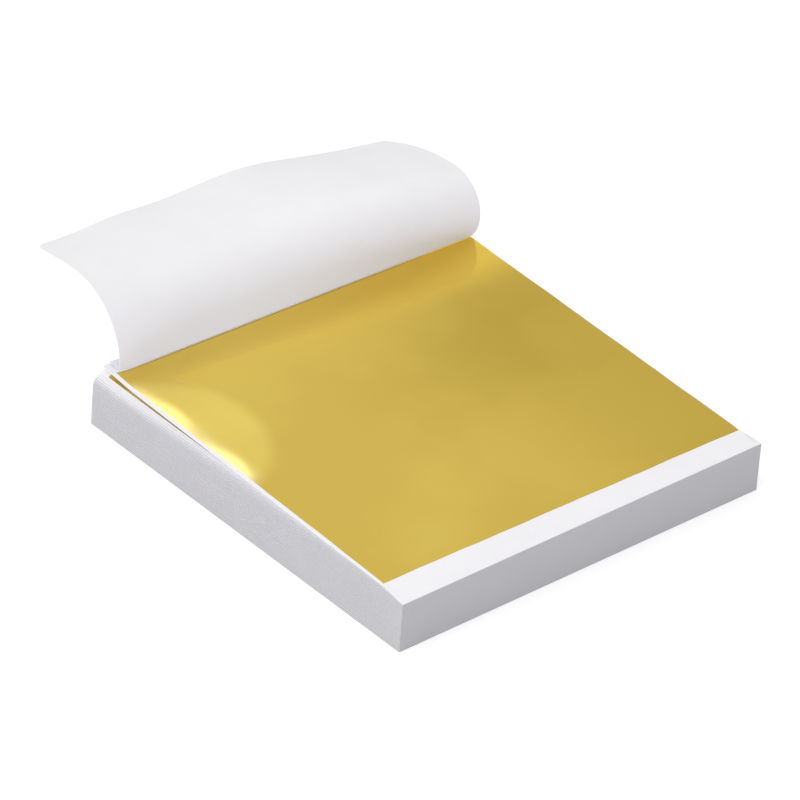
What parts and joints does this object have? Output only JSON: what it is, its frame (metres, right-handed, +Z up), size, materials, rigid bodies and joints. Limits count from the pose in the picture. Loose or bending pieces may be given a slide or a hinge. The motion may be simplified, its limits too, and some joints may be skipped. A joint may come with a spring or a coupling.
{
  "type": "gold leaf booklet",
  "caption": "Square pad of thin white paper, glued along one edge, with a loose gold-coloured metal leaf on every page and the first page curled back over the spine.",
  "frame": {"origin": "middle of the pad's flat underside, on the surface that it lies on", "axes": "+X runs along the glued spine, +Y points from the open front edge to the spine, +Z points up out of the pad"},
  "size_m": [0.0887, 0.1154, 0.0265],
  "materials": {
    "tissue": "matte",
    "metal_leaf": "satin",
    "padding_glue": "matte"
  },
  "bodies": {
    "block": {"spine_glue": "padding_glue", "page_bundle_01": "tissue", "page_bundle_02": "tissue", "page_bundle_03": "tissue", "page_bundle_04": "tissue", "page_bundle_05": "tissue", "page_bundle_06": "tissue", "page_bundle_07": "tissue", "page_bundle_08": "tissue", "page_bundle_09": "tissue", "page_bundle_10": "tissue", "page_bundle_11": "tissue", "page_bundle_12": "tissue", "page_bundle_13": "tissue", "page_bundle_14": "tissue", "page_bundle_15": "tissue", "page_bundle_16": "tissue", "page_bundle_17": "tissue", "page_bundle_18": "tissue", "page_bundle_19": "tissue", "page_bundle_20": "tissue", "leaf_bundle_01": "metal_leaf", "leaf_bundle_02": "metal_leaf", "leaf_bundle_03": "metal_leaf", "leaf_bundle_04": "metal_leaf", "leaf_bundle_05": "metal_leaf", "leaf_bundle_06": "metal_leaf", "leaf_bundle_07": "metal_leaf", "leaf_bundle_08": "metal_leaf", "leaf_bundle_09": "metal_leaf", "leaf_bundle_10": "metal_leaf", "leaf_bundle_11": "metal_leaf", "leaf_bundle_12": "metal_leaf", "leaf_bundle_13": "metal_leaf", "leaf_bundle_14": "metal_leaf", "leaf_bundle_15": "metal_leaf", "leaf_bundle_16": "metal_leaf", "leaf_bundle_17": "metal_leaf", "leaf_bundle_18": "metal_leaf", "leaf_bundle_19": "metal_leaf", "leaf_bundle_20": "metal_leaf"},
    "carrying_page": {"top_page": "tissue", "turned_page_strip": "tissue"},
    "open_leaf": {"top_leaf": "metal_leaf"},
    "first_page": {"turned_page": "tissue"}
  },
  "joints": [
    {"name": "carrying_page_lift", "type": "hinge", "parent": "block", "child": "carrying_page", "pos_m": [0, 0.044, 0.01161], "axis": [-1, 0, 0], "range_deg": [0, 40]},
    {"name": "leaf_slide_off", "type": "slide", "parent": "carrying_page", "child": "open_leaf", "axis": [0, -1, -0.006], "range_m": [0, 0.1]},
    {"name": "first_page_close", "type": "hinge", "parent": "carrying_page", "child": "first_page", "pos_m": [0.00255, 0.03975, 0.01179], "axis": [0.9997, -0.0224, -0.0001], "range_deg": [0, 50]}
  ]
}
